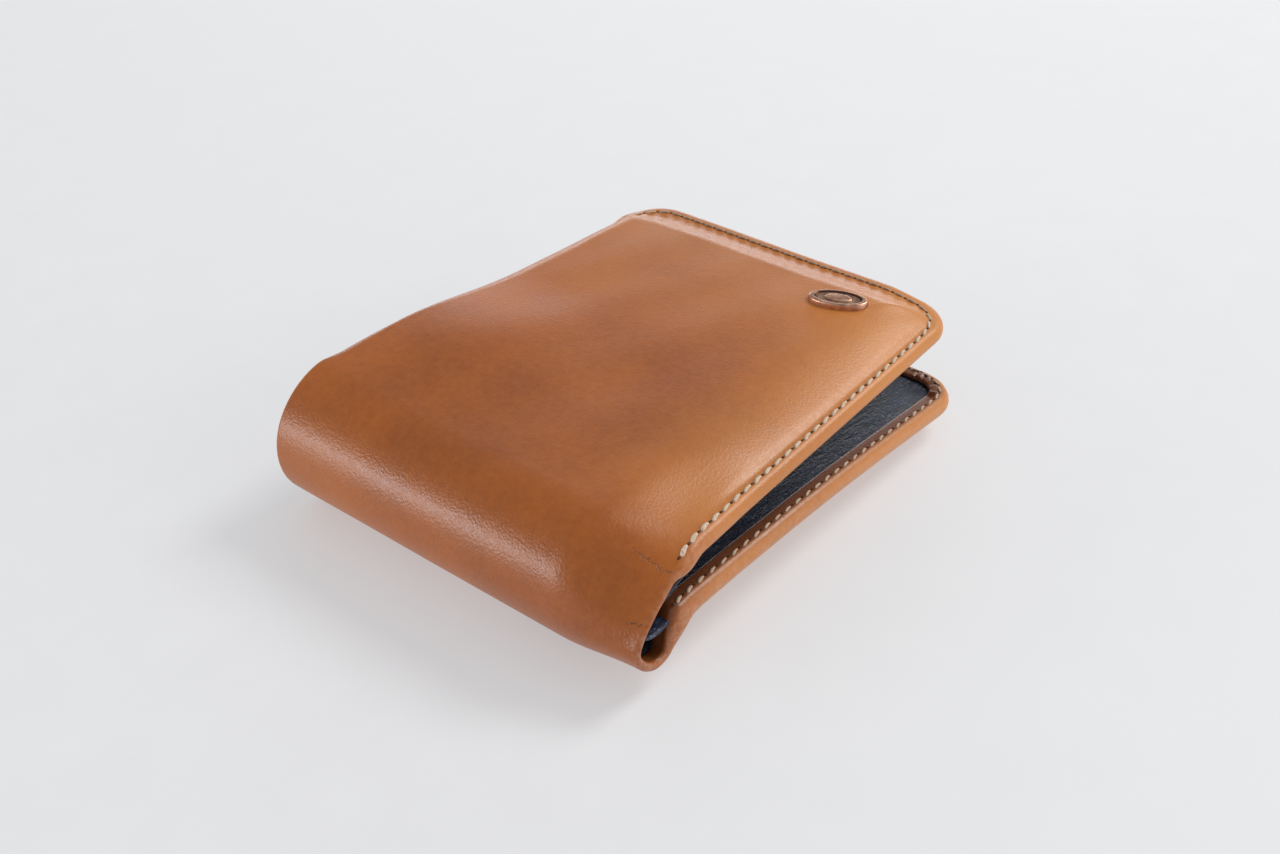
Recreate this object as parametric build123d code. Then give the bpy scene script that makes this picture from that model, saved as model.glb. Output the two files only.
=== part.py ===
"""Leather bifold coin purse, folded and a little ajar, lying on its back leaf.

Frame: +X from the spine to the free edges, +Y along the spine, +Z up.
The origin is under the middle of the purse, on the surface it lies on.
All sizes are in millimetres.
"""
from build123d import *
from math import pi
import os

# ---- driving dimensions ---------------------------------------------------------------
LENGTH = 110.0            # spine to free edge, folded
WIDTH = 84.0              # along the spine
SPINE_R = 13.4            # outer radius of the fold
LEATHER = 1.3             # cover leather
FREE_X = LENGTH / 2
SIDE_Y = WIDTH / 2
SPINE_X = SPINE_R - LENGTH / 2        # centre line of the fold, where the leaves begin
HEIGHT = 2 * SPINE_R
CORNER_R = 9.4            # plan corners at the free edge

# the sewn margin round each leaf, and the slope from it to the stuffed middle
MARGIN = 7.0
SLOPE = 7.0
HIGH_SLOPE = 4.0
TURNED_WIDTH = 4.8        # leather turned in over the panels
TURNED = 0.9
SEAM_INSET = 1.9
THREAD = 0.6
THREAD_RISE = 0.3

# thin layers
BOARD = 0.5
LINING = 0.3
BAG = 0.4                 # coin pocket bag cloth
PANEL = 0.8               # coin pocket front leather
CARD_LEATHER = 0.7
CLEAR = 0.3
CORE_CLEAR = 2.0          # from the foot of the slope to the board
SPINE_CLEAR = 3.0         # from the fold to the coin bag and the card pockets
BAG_CLEAR = 1.0           # from the inside of the cover's slope to the bag
SEAM_END = 6.0            # the seam stops this far from the far side

# levels, from the table up
LOW_MARGIN_Z = 8.2        # underside of the back leaf's margin
LOW_TOP_Z = LOW_MARGIN_Z + LEATHER + BAG + PANEL + TURNED
HIGH_MARGIN_Z = 23.5      # upper side of the front leaf's margin

# the spine turns about two axes just outside the leather, 45 degrees off its corners
SPLIT = 45.0
SPLIT_GAP = 1.5           # degrees left open at each split
AXIS_OFFSET = pi * SPINE_R / 4

# coin pocket zip
ZIP_Y = 24.0
ZIP_X0, ZIP_X1 = -35.0, 42.0
SLOT_HALF = 2.6
SLOT_END = 1.8            # slot beyond the teeth
ZIP_SEAM_OFFSET = 1.8     # from the slot's edge to its seam
ZIP_TAIL = 2.0            # tape and seam beyond the teeth
TAPE = 0.4
TAPE_WIDTH = 5.0
TOOTH_PITCH = 2.0
TOOTH_LENGTH = 0.9
TOOTH_DEPTH = 1.1
TOOTH_HEIGHT = 1.4
BEAD_WIDTH = 0.6
ZIP_RISE = 0.2            # middle of the teeth above the underside of the pocket's front
STOP_LENGTH = 1.4
ROW_GAP = 0.9             # between the two rows, where the slider's wedge runs
SLIDER_LENGTH = 8.0
SLIDER_WIDTH = 6.6
SLIDER_PLATE = 0.7
SLIDER_GAP = 0.25
SLIDER_X = 36.0
WEDGE_LENGTH, WEDGE_THICK, WEDGE_BACK = 2.4, 0.5, 0.8
CHEEK_OFFSET, CHEEK_THICK, CHEEK_R = 1.7, 0.6, 1.3
BAR_RISE = 1.35           # of the pull's bar above the slider's top plate
BAIL_R = 0.45
BAIL_CLEAR = 0.08
EYE_R, EYE_WIDTH = 1.15, 2.2
NECK_WIDTH = 2.0
GRIP_HOLE_R = 0.9
PULL_REACH = 6.6
PULL_WIDTH = 3.6
PULL_THICK = 0.8

# badge
BADGE_X, BADGE_Y = 37.5, -20.0
BADGE_TURN = -68.0        # long axis, from +X
BADGE_LENGTH, BADGE_WIDTH, BADGE_RISE = 12.5, 8.0, 1.5
PRONG_R, PRONG_SPACING = 0.5, 6.0
PRONG_CLEAR = 0.05
PLATE_LENGTH, PLATE_WIDTH = 9.0, 4.0

# card pockets: near end and mouth of each, along the spine
POCKET_ENDS = ((-16.0, 31.0), (-28.0, 19.0), (-36.9, 7.0))
POCKET_SEAM_INSET = 1.5


def leaf_face(inset, z, x0=SPINE_X):
    """Plan of a leaf, pulled in by inset on its three sewn sides."""
    x1 = FREE_X - inset
    y1 = SIDE_Y - inset
    plan = Pos((x0 + x1) / 2, 0) * Rectangle(x1 - x0, 2 * y1)
    corners = plan.vertices().group_by(Axis.X)[-1]
    return Pos(0, 0, z) * fillet(corners, max(CORNER_R - inset * 0.5, 1.5))


def slab(inset, z0, z1, x0=SPINE_X):
    """Flat layer of a leaf."""
    return extrude(leaf_face(inset, z0, x0), z1 - z0)


def block(x0, x1, y0, y1, z0, z1):
    """Box between two corners."""
    return Pos((x0 + x1) / 2, (y0 + y1) / 2, (z0 + z1) / 2) * Box(x1 - x0, y1 - y0, z1 - z0)


def dish(z_margin, z_middle, inset, x0=SPINE_X, slope=SLOPE):
    """Solid between the margin and the stuffed middle of a leaf."""
    return loft([leaf_face(inset, z_margin, x0), leaf_face(inset + slope, z_middle, x0)])


def ring(r_out, r_in, a0, a1, half_width):
    """Part of the fold between two angles, seen along the spine."""
    centre = (SPINE_X, SPINE_R)
    outer = CenterArc(centre, r_out, a0, a1 - a0)
    inner = CenterArc(centre, r_in, a0, a1 - a0)
    outline = [outer, inner, Line(outer @ 0, inner @ 0), Line(outer @ 1, inner @ 1)]
    face = Plane.XZ * make_face(outline)
    return extrude(face, half_width, both=True)


def edge_band(inset0, inset1, z0, z1, y_far=SIDE_Y):
    """Band that follows the near side and the free edge of a leaf."""
    band = slab(inset0, z0, z1) - slab(inset1, z0 - 1, z1 + 1, SPINE_X - 1)
    return band & block(SPINE_X, FREE_X, -SIDE_Y, y_far, z0, z1)


def turned_edge(z_wall0, z_wall1, z_strip0, z_strip1):
    """Cover leather that wraps round the edge and lies on the panels."""
    y_far = SIDE_Y - TURNED_WIDTH - CLEAR
    wall = edge_band(0, LEATHER, z_wall0, z_wall1, y_far)
    strip = edge_band(0, TURNED_WIDTH, z_strip0, z_strip1, y_far)
    return wall + strip


def sleeve_hem(z0, z1):
    """Hem along the far side of a leaf, which is not sewn to the panels."""
    return slab(0, z0, z1) & block(SPINE_X, FREE_X, SIDE_Y - TURNED_WIDTH, SIDE_Y, z0, z1)


def back_leaf():
    """Root leaf: cover, linings, coin pocket and the seam round it."""
    cover_top = LOW_MARGIN_Z + LEATHER
    cover = slab(0, LOW_MARGIN_Z, cover_top) + dish(cover_top - 0.01, 0, MARGIN)
    cover -= dish(cover_top + 0.5, LEATHER, MARGIN + LEATHER, SPINE_X - 1)
    cover += ring(SPINE_R, SPINE_R - LEATHER, 270 - SPLIT + SPLIT_GAP / 2, 270, SIDE_Y)
    middle = MARGIN + SLOPE + CORE_CLEAR
    board = slab(middle, LEATHER, LEATHER + BOARD)
    lining_z = LEATHER + BOARD
    lining = slab(middle, lining_z, lining_z + LINING)
    bag_floor = lining_z + LINING
    bag_inset = MARGIN + LEATHER + BAG_CLEAR
    bag_x = SPINE_X + SPINE_CLEAR
    bag = dish(cover_top, bag_floor, bag_inset, bag_x)
    bag += slab(LEATHER, cover_top, cover_top + BAG)
    bag -= dish(cover_top + BAG + 0.1, bag_floor + BAG, bag_inset + BAG, bag_x + BAG)
    panel_z = cover_top + BAG
    panel = slab(LEATHER, panel_z, panel_z + PANEL)
    panel -= block(ZIP_X0 - SLOT_END, ZIP_X1 + SLOT_END, ZIP_Y - SLOT_HALF, ZIP_Y + SLOT_HALF,
                   panel_z - 1, panel_z + 2)
    strip_z = panel_z + PANEL
    edge = turned_edge(cover_top, strip_z, strip_z, strip_z + TURNED)
    thread = edge_band(SEAM_INSET, SEAM_INSET + THREAD, LOW_TOP_Z, LOW_TOP_Z + THREAD_RISE,
                       SIDE_Y - SEAM_END)
    parts = {
        "lower_cover": cover,
        "lower_stiffener": board,
        "lower_lining": lining,
        "coin_pocket_bag": bag,
        "coin_pocket_front": panel,
        "lower_turned_edge": edge,
        "lower_sleeve_hem": sleeve_hem(strip_z, strip_z + TURNED),
        "lower_seam_thread": thread,
    }
    parts.update(coin_zip(panel_z))
    return parts


def tooth_row(side, z_mid):
    """One row of zip teeth on its bead, on the +Y (1) or -Y (-1) side of the slot."""
    y_bead = ZIP_Y + side * (ROW_GAP / 2 + TOOTH_DEPTH)
    y_tip = ZIP_Y + side * ROW_GAP / 2
    half = TOOTH_HEIGHT / 2
    bead_far = y_bead + side * BEAD_WIDTH
    row = block(ZIP_X0, ZIP_X1, min(y_bead, bead_far), max(y_bead, bead_far), z_mid - half, z_mid + half)
    count = int((ZIP_X1 - ZIP_X0) / TOOTH_PITCH)
    shift = 0.5 if side > 0 else 0.0
    teeth = []
    for i in range(count):
        x = ZIP_X0 + (i + shift) * TOOTH_PITCH
        teeth.append(block(x, x + TOOTH_LENGTH, min(y_bead, y_tip), max(y_bead, y_tip),
                           z_mid - half, z_mid + half))
    return row + teeth


def coin_zip(panel_z):
    """Zip of the coin pocket, without its slider."""
    z_mid = panel_z + ZIP_RISE
    outer = ROW_GAP / 2 + TOOTH_DEPTH + BEAD_WIDTH
    tape_z = panel_z - TAPE
    parts = {}
    for side, name in ((1, "far"), (-1, "near")):
        y_in = ZIP_Y + side * outer
        y_out = ZIP_Y + side * (outer + TAPE_WIDTH)
        tape = block(ZIP_X0 - ZIP_TAIL, ZIP_X1 + ZIP_TAIL / 2, min(y_in, y_out), max(y_in, y_out),
                     tape_z, panel_z)
        parts["zip_tape_" + name] = tape
        parts["zip_teeth_" + name] = tooth_row(side, z_mid)
    half = TOOTH_HEIGHT / 2
    stops = []
    for x in (ZIP_X0 - 1.5, ZIP_X1):
        stops.append(block(x, x + STOP_LENGTH, ZIP_Y - outer, ZIP_Y + outer, z_mid - half, z_mid + half))
    parts["zip_end_stops"] = Compound(children=[Part() + stop for stop in stops])
    thread_z = panel_z + PANEL
    rows = []
    for side in (-1, 1):
        y = ZIP_Y + side * (SLOT_HALF + ZIP_SEAM_OFFSET)
        rows.append(block(ZIP_X0 - ZIP_TAIL, ZIP_X1 + ZIP_TAIL, y - THREAD / 2, y + THREAD / 2, thread_z,
                          thread_z + THREAD_RISE))
    parts["zip_seam_thread"] = Compound(children=[Part() + row for row in rows])
    return parts


def zip_slider():
    """Slider: two plates joined by a wedge, and two cheeks that hold the pull's bar."""
    front_z = LOW_MARGIN_Z + LEATHER + BAG
    z_mid = front_z + ZIP_RISE
    top_z = max(z_mid + TOOTH_HEIGHT / 2, front_z + PANEL) + SLIDER_GAP
    low_z = z_mid - TOOTH_HEIGHT / 2 - SLIDER_GAP
    x0 = SLIDER_X - SLIDER_LENGTH / 2
    x1 = SLIDER_X + SLIDER_LENGTH / 2
    half = SLIDER_WIDTH / 2
    plan = Pos(SLIDER_X, ZIP_Y) * RectangleRounded(SLIDER_LENGTH, SLIDER_WIDTH, 1.8)
    top = extrude(Pos(0, 0, top_z) * plan, SLIDER_PLATE)
    small = Pos(SLIDER_X, ZIP_Y) * RectangleRounded(SLIDER_LENGTH, 2 * SLOT_HALF - 0.4, 1.6)
    low = extrude(Pos(0, 0, low_z - SLIDER_PLATE) * small, SLIDER_PLATE)
    wedge_x = x1 - WEDGE_BACK
    wedge = block(wedge_x - WEDGE_LENGTH, wedge_x, ZIP_Y - WEDGE_THICK / 2, ZIP_Y + WEDGE_THICK / 2,
                  low_z, top_z)
    cheek_z = top_z + SLIDER_PLATE
    bar_z = pull_height()
    cheeks = []
    for side in (-1, 1):
        y = ZIP_Y + side * CHEEK_OFFSET
        foot = block(SLIDER_X - CHEEK_R, SLIDER_X + CHEEK_R, y - CHEEK_THICK / 2, y + CHEEK_THICK / 2,
                     cheek_z, bar_z)
        cap = Pos(SLIDER_X, y, bar_z) * Rot(90, 0, 0) * Cylinder(CHEEK_R, CHEEK_THICK)
        cheeks.append(foot + (cap & block(x0, x1, ZIP_Y - half, ZIP_Y + half, cheek_z, bar_z + 1)))
    bar = Pos(SLIDER_X, ZIP_Y, bar_z) * Rot(90, 0, 0) * Cylinder(BAIL_R, 2 * CHEEK_OFFSET)
    return top + low + wedge + cheeks + bar


def pull_height():
    """Height of the bar that the pull swings on."""
    return LOW_MARGIN_Z + LEATHER + BAG + PANEL + SLIDER_GAP + SLIDER_PLATE + BAR_RISE


def zip_pull():
    """Short round pull on the slider's bar, lying towards the spine."""
    z = pull_height()
    half = PULL_THICK / 2
    eye = Pos(SLIDER_X, ZIP_Y, z) * Rot(90, 0, 0) * Cylinder(EYE_R, EYE_WIDTH)
    reach = PULL_REACH - PULL_WIDTH / 2
    neck = block(SLIDER_X - reach, SLIDER_X, ZIP_Y - NECK_WIDTH / 2, ZIP_Y + NECK_WIDTH / 2, z - half,
                 z + half)
    disc = Pos(SLIDER_X - reach, ZIP_Y, z) * Cylinder(PULL_WIDTH / 2, PULL_THICK)
    bore = Pos(SLIDER_X, ZIP_Y, z) * Rot(90, 0, 0) * Cylinder(BAIL_R + BAIL_CLEAR, 3)
    hole = Pos(SLIDER_X - reach, ZIP_Y, z) * Cylinder(GRIP_HOLE_R, 3)
    return eye + neck + disc - bore - hole


def spine():
    """Middle of the fold, between the two leaves."""
    a0 = 90 + SPLIT + SPLIT_GAP / 2
    a1 = 270 - SPLIT - SPLIT_GAP / 2
    inner = SPINE_R - LEATHER
    return {
        "spine_cover": ring(SPINE_R, inner, a0, a1, SIDE_Y),
        "spine_lining": ring(inner, inner - LINING, a0 + SPLIT_GAP, a1 - SPLIT_GAP, SIDE_Y - 2),
    }


def front_leaf():
    """Upper leaf: cover, linings, card pockets, seams and the badge."""
    cover_z = HIGH_MARGIN_Z - LEATHER
    cover = slab(0, cover_z, HIGH_MARGIN_Z) + dish(HIGH_MARGIN_Z - 0.01, HEIGHT, MARGIN, slope=HIGH_SLOPE)
    cover -= dish(cover_z - 0.5, HEIGHT - LEATHER, MARGIN + LEATHER, SPINE_X - 1, HIGH_SLOPE)
    cover += ring(SPINE_R, SPINE_R - LEATHER, 90, 90 + SPLIT - SPLIT_GAP / 2, SIDE_Y)
    middle = MARGIN + HIGH_SLOPE + CORE_CLEAR
    board_z = HEIGHT - LEATHER - BOARD
    board = slab(middle, board_z, HEIGHT - LEATHER)
    lining = slab(middle, board_z - LINING, board_z)
    panel_z = cover_z - CARD_LEATHER
    panel = slab(LEATHER, panel_z, cover_z)
    edge = turned_edge(panel_z, cover_z, panel_z - TURNED, panel_z)
    thread = edge_band(SEAM_INSET, SEAM_INSET + THREAD, HIGH_MARGIN_Z, HIGH_MARGIN_Z + THREAD_RISE,
                       SIDE_Y - SEAM_END)
    place = Pos(BADGE_X, BADGE_Y) * Rot(0, 0, BADGE_TURN)
    badge = place * extrude(Pos(0, 0, HEIGHT) * Ellipse(BADGE_LENGTH / 2, BADGE_WIDTH / 2), BADGE_RISE)
    plate_z = (board_z + HEIGHT - LEATHER) / 2
    board -= place * Pos(0, 0, plate_z) * Box(PLATE_LENGTH + CLEAR, PLATE_WIDTH + CLEAR, 2 * BOARD)
    plate = place * Pos(0, 0, plate_z) * Box(PLATE_LENGTH, PLATE_WIDTH, BOARD)
    for side in (-1, 1):
        at = place * Pos(side * PRONG_SPACING / 2, 0, (HEIGHT + board_z) / 2)
        badge += at * Cylinder(PRONG_R, HEIGHT - board_z)
        cover -= at * Cylinder(PRONG_R + PRONG_CLEAR, 6)
        plate -= at * Cylinder(PRONG_R + PRONG_CLEAR, 6)
    parts = {
        "upper_cover": cover,
        "upper_stiffener": board,
        "upper_lining": lining,
        "card_panel": panel,
        "upper_turned_edge": edge,
        "upper_sleeve_hem": sleeve_hem(panel_z - TURNED, panel_z),
        "upper_seam_thread": thread,
        "badge": badge,
        "badge_back_plate": plate,
    }
    parts.update(card_pockets(panel_z))
    return parts


def card_pockets(panel_z):
    """Three stepped card pockets under the card panel, and the seams at their ends."""
    x0 = SPINE_X + SPINE_CLEAR
    x1 = FREE_X - TURNED_WIDTH - CLEAR
    near = -SIDE_Y + TURNED_WIDTH + CLEAR
    parts = {}
    for i, (y0, y1) in enumerate(POCKET_ENDS):
        top = panel_z - i * CARD_LEATHER
        parts["card_pocket_%d" % (i + 1)] = block(x0, x1, y0, y1, top - CARD_LEATHER, top)
    low = panel_z - 3 * CARD_LEATHER
    rows = []
    for x in (x0 + POCKET_SEAM_INSET, x1 - POCKET_SEAM_INSET):
        rows.append(block(x - THREAD / 2, x + THREAD / 2, near + 1, 6, low - THREAD_RISE, low))
    parts["card_seam_thread"] = Compound(children=[Part() + row for row in rows])
    return parts


def all_parts():
    """Every node of the purse."""
    parts = back_leaf()
    parts["zip_slider"] = zip_slider()
    parts["zip_pull"] = zip_pull()
    parts.update(spine())
    parts.update(front_leaf())
    return parts


os.makedirs("parts", exist_ok=True)
for old in os.listdir("parts"):
    os.remove(os.path.join("parts", old))
for name, solid in all_parts().items():
    export_step(solid, "parts/%s.step" % name)
print("hinge axes x %.3f z %.3f %.3f" % (SPINE_X - AXIS_OFFSET, SPINE_R - AXIS_OFFSET,
                                         SPINE_R + AXIS_OFFSET))
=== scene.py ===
"""Looks of a leather bifold coin purse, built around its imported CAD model.

Shapes are worked out in millimetres, in the CAD frame, and turned into metres when a mesh is made.
"""
import math

import bmesh
import bpy
import numpy as np
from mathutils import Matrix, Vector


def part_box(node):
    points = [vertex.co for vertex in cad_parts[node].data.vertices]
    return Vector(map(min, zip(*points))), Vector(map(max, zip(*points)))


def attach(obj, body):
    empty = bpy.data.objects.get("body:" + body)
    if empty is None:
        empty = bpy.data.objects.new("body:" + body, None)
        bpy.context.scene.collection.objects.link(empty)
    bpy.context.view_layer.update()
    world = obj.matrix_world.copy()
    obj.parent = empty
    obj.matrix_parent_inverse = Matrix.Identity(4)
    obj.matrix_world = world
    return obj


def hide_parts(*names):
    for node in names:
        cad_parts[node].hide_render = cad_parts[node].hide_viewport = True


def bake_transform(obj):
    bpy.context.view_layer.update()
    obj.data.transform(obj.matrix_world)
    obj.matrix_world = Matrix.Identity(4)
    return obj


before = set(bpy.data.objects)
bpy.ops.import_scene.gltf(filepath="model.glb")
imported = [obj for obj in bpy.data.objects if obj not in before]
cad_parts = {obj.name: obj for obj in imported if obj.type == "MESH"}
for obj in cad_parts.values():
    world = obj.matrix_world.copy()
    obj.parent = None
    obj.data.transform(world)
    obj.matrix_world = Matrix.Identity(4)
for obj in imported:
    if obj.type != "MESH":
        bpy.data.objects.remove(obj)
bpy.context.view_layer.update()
MM = 0.001


def box_mm(node):
    """Lowest and highest corner of a CAD node, in millimetres."""
    low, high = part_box(node)
    return np.array(low) / MM, np.array(high) / MM


# ---- sizes from the frame ----
FREE_X = box_mm("lower_cover")[1][0]
SIDE_Y = box_mm("lower_cover")[1][1]
HEIGHT = box_mm("upper_cover")[1][2]
SPINE_R = HEIGHT / 2
SPINE_X = box_mm("spine_cover")[0][0] + SPINE_R
QUARTER = math.pi / 2 * SPINE_R              # from the middle of the fold to where a leaf begins
COIN_PANEL_Z = box_mm("coin_pocket_front")[1][2]
CARD_PANEL_Z = box_mm("card_panel")[0][2]
HIGH_MARGIN_Z = box_mm("upper_seam_thread")[0][2]

# ---- driving sizes of the soft shapes ----
CORNER_R = 9.4
LEATHER = 1.3
EDGE = 3.6                # the upper leaf's whole sewn edge, cover to turned strip
LOW_EDGE = 4.2            # and the lower leaf's
LOW_ROW_X, LOW_ROW_Z = (-42, 4, 50), (13.2, 11.9, 8.4)      # height of its near edge, along it
LOW_SHORT = 0.7           # the lower leaf ends a little short of the upper one
TURNED = 0.9
LOW_STRIP_Z = COIN_PANEL_Z + TURNED
STRIP = 4.2               # width of the turned strip
SEAM_INSET = 1.9
STITCH = 3.2              # from hole to hole
THREAD_R = 0.34
PINCH_LENGTH = 17.0       # how far the gathered end of the fold reaches along it
# how far the unsewn far side of the upper leaf bends down along it, and over what width
FALL_X = (-41.6, -26, -8, 14, 40)
FAR_FALLS = (0.0, 2.2, 1.4, 1.3, 2.2)
FAR_REACH = (2.5, 6.0)
BULGE, BULGE_X, BULGE_WIDTH = 2.8, -23.6, 33.5      # the fold stands a little higher at its far end
NARROWER = 0.0643         # how much narrower the upper leaf is at its free end
SHIFTED = 1.2             # and how far it is moved aside there
# short cracks in the leather, beside the gathered end of the fold
CREASES = (((-44.6, -34.5, 23.2), (-43.8, -38.7, 21.5)),
           ((-43.8, -38.7, 21.5), (-43.5, -41.2, 21.1)),
           ((-51.0, -38.9, 15.1), (-50.4, -41.3, 15.2)))
GRID = 0.5                # vertex spacing on the leaves
ROUND_STEPS = 8           # round the turned edge
# turned strip: how far in from the outline, how deep, and how much its corner pleats show
STRIP_PROFILE = ((0.25, 0.02, 0.5), (0.7, 0.0, 0.85), (1.2, 0.0, 0.9), (1.8, 0.02, 0.8), (2.2, 0.08, 0.55))
SEAM_START = {-1: 19.8, 1: 19.0}      # distance round the fold at which each leaf's seam begins
CARD_MOUTH = 1.6
NAVY_STITCH = 2.4
BADGE_TURN = math.radians(-68.0)
BADGE_HALF = (6.0, 3.1)


def smooth(t):
    """Eased step from 0 to 1."""
    t = np.clip(t, 0.0, 1.0)
    return t * t * (3 - 2 * t)


def through(knots, values, t):
    """Smooth curve through the values at the knots."""
    knots = np.array(knots, float)
    values = np.array(values, float)
    slope = np.gradient(values, knots)
    t = np.clip(t, knots[0], knots[-1])
    i = np.clip(np.searchsorted(knots, t) - 1, 0, len(knots) - 2)
    h = knots[i + 1] - knots[i]
    u = (t - knots[i]) / h
    a = 2 * u ** 3 - 3 * u ** 2 + 1
    b = u ** 3 - 2 * u ** 2 + u
    c = 3 * u ** 2 - 2 * u ** 3
    d = u ** 3 - u ** 2
    return a * values[i] + b * h * slope[i] + c * values[i + 1] + d * h * slope[i + 1]


def normalised(v):
    """Vectors of length 1."""
    return v / np.maximum(np.linalg.norm(v, axis=-1, keepdims=True), 1e-9)


# ---- the shape of the cover ----
def ripple(x, y):
    """Slow, shallow unevenness of the stuffed leather."""
    return (0.16 * np.sin(0.11 * x + 0.7) * np.sin(0.093 * y + 1.9)
            + 0.07 * np.sin(0.21 * x - 0.17 * y + 0.4) + 0.05 * np.sin(0.33 * y + 0.12 * x + 2.2))


def edge_distance(x, y, inset):
    """Distance from the sewn outline, pulled in by inset, to a point inside it."""
    r = CORNER_R - inset
    dx = FREE_X - inset - x
    dy = SIDE_Y - inset - np.abs(y)
    straight = np.minimum(dx, dy)
    cx = r - dx
    cy = r - dy
    corner = r - np.sqrt(np.maximum(cx, 0) ** 2 + np.maximum(cy, 0) ** 2)
    return np.where((cx > 0) & (cy > 0), corner, straight)


def low_row_z(x, y):
    """Height of the turned strip's face on the lower leaf."""
    near = through(LOW_ROW_X, LOW_ROW_Z, x)
    rise = smooth((y + 34) / 48)
    return near + (LOW_STRIP_Z - near) * rise


def high_row_z(x, y):
    """Height of the cover's sewn margin on the upper leaf."""
    free = smooth((x - 36) / 16)
    return HIGH_MARGIN_Z + 1.4 * free * smooth((y + 38) / 14) + 0.4 * free * smooth((y + 10) / 40)


def far_fall(x, y, wider=0.0):
    """How far the unsewn far side of the upper leaf bends down."""
    along = np.clip((x - SPINE_X) / (FREE_X - SPINE_X), 0, 1)
    stiff = smooth((x - 39) / 8)
    fall = through(FALL_X, FAR_FALLS, x)
    reach = FAR_REACH[0] + (FAR_REACH[1] - FAR_REACH[0]) * along + wider
    return fall * (1 - 0.97 * stiff) * (1 - smooth((SIDE_Y - y) / reach))


def leaf_z(side, x, y):
    """Outer surface of a leaf: side is -1 for the lower leaf, 1 for the upper."""
    d = edge_distance(x, y, EDGE / 2)
    grown = smooth((x - SPINE_X) / 11.0)
    away = smooth((x - SPINE_X) / 28.0)
    if side < 0:
        margin = (low_row_z(x, y) - LOW_EDGE) * grown
        full = smooth((d - 1.2) / 12.0)
        return margin * (1 - full) + full * 0.3 * np.abs(ripple(x, y)) * away
    margin = HEIGHT + (high_row_z(x, y) - HEIGHT) * grown
    to_free = smooth((SIDE_Y - np.abs(y) - (FREE_X - x)) / 16 + 0.5)
    u = np.clip((d - 0.7) / 16.0, 0, 1)
    near_full = (1 - (1 - u) ** 2.2) * smooth((d - 0.5) / 2.0)
    free_full = smooth((d - 1.6) / 9.0)
    full = np.where(y < 0, near_full + (free_full - near_full) * to_free, 1)
    round_corner = smooth((x - 41) / 12) * (1 - smooth((SIDE_Y - EDGE / 2 - y - 0.6) / 10.0))
    full = np.where(y < 0, full, smooth((FREE_X - EDGE / 2 - x - 1.6) / 9.0) * (1 - round_corner))
    top = HEIGHT + (0.5 * smooth(d / 26) + ripple(x, y)) * away
    return margin * (1 - full) + top * full - far_fall(x, y)


# outline of the fold's gathered near end, by distance round the fold from its middle
PINCH_S = [-36, -31, -27, -23, -20, -16.5, -13, -9.5, -5.5, -1, 3, 7, 11, 15, 19, 23, 28, 36, 50]
PINCH_X = [-26.65, -32, -36.2, -39.2, -41.8, -44.8, -47.8, -50.4, -52.5, -53.1, -51.8, -49.4,
           -46.7, -43.9, -41.0, -37.8, -34.0, -26.65, -12.65]
PINCH_Z = [8.4, 8.6, 8.6, 7.9, 6.2, 4.3, 4.0, 5.4, 8.1, 10.8, 13.5, 16.1, 18.5, 20.8, 22.4, 23.2, 23.5, 23.5,
           23.5]
EDGE_S = [-20, -16, -12, -8, 0, 14, 20]
EDGE_T = [2.6, 2.0, 1.9, 1.7, 1.5, 1.5, 2.4]


def pinch_share(s, y):
    """How far a point is drawn into the gathered near end."""
    along = smooth(1 - (y + SIDE_Y) / PINCH_LENGTH)
    return along * smooth((s + 36) / 5) * smooth((50 - s) / 24)


def strip_z(side, x, y, s):
    """Height of the turned strip's face. The gathered end of the fold draws in the upper leaf's."""
    if side < 0:
        return low_row_z(x, y)
    z = high_row_z(x, y) - EDGE - far_fall(x, y)
    return z + (through(PINCH_S, PINCH_Z, s) - EDGE - z) * pinch_share(s, y)


def edge_thickness(s, y):
    """Thickness of the turned edge where it goes round the fold."""
    return np.where(y < 0, through(EDGE_S, EDGE_T, s), 1.6)


def cover_point(s, y, leaf_x):
    """Point of the cover's outer surface, at s round the fold from its middle (below zero: lower leaf)."""
    phi = np.clip(math.pi - s / SPINE_R, math.pi / 2, 1.5 * math.pi)
    x = np.where(np.abs(s) > QUARTER, leaf_x, SPINE_X + SPINE_R * np.cos(phi))
    low = leaf_z(-1, np.maximum(leaf_x, SPINE_X), y)
    high = leaf_z(1, np.maximum(leaf_x, SPINE_X), y)
    round_z = SPINE_R + SPINE_R * np.sin(phi)
    z = np.where(s < -QUARTER, low, np.where(s > QUARTER, high, round_z))
    z = z + BULGE * smooth(1 - np.abs(x - BULGE_X) / BULGE_WIDTH) * smooth(y / 36) * (s > -QUARTER / 2)
    share = pinch_share(s, y)
    x = x + (through(PINCH_S, PINCH_X, s) - x) * share
    z = z + (through(PINCH_S, PINCH_Z, s) - z) * share
    return np.stack([x, y + 0 * x, z], -1)


def narrowed(p):
    """Points of the upper leaf, drawn in towards its free end."""
    p = np.array(p, float)
    along = np.clip((p[..., 0] - SPINE_X) / (FREE_X - SPINE_X), 0, 1)
    p[..., 1] += along * smooth(along * 5) * (SHIFTED - NARROWER * p[..., 1])
    return p


def row_ys(inset):
    """Stations along the fold as shares of the half width, dense round the corners."""
    flat = (SIDE_Y - CORNER_R)
    turns = np.radians(np.linspace(0, 90, 15))[1:]
    arc = flat + (CORNER_R - inset) * np.sin(turns)
    middle = np.linspace(-flat, flat, int(2 * flat / GRID))
    return np.concatenate([-arc[::-1], middle, arc]) / (SIDE_Y - inset)


def edge_x(y, inset):
    """Where the free edge is at each station."""
    r = CORNER_R - inset
    over = np.maximum(np.abs(y) - (SIDE_Y - CORNER_R), 0)
    return FREE_X - CORNER_R + np.sqrt(np.maximum(r * r - over * over, 0))


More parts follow.
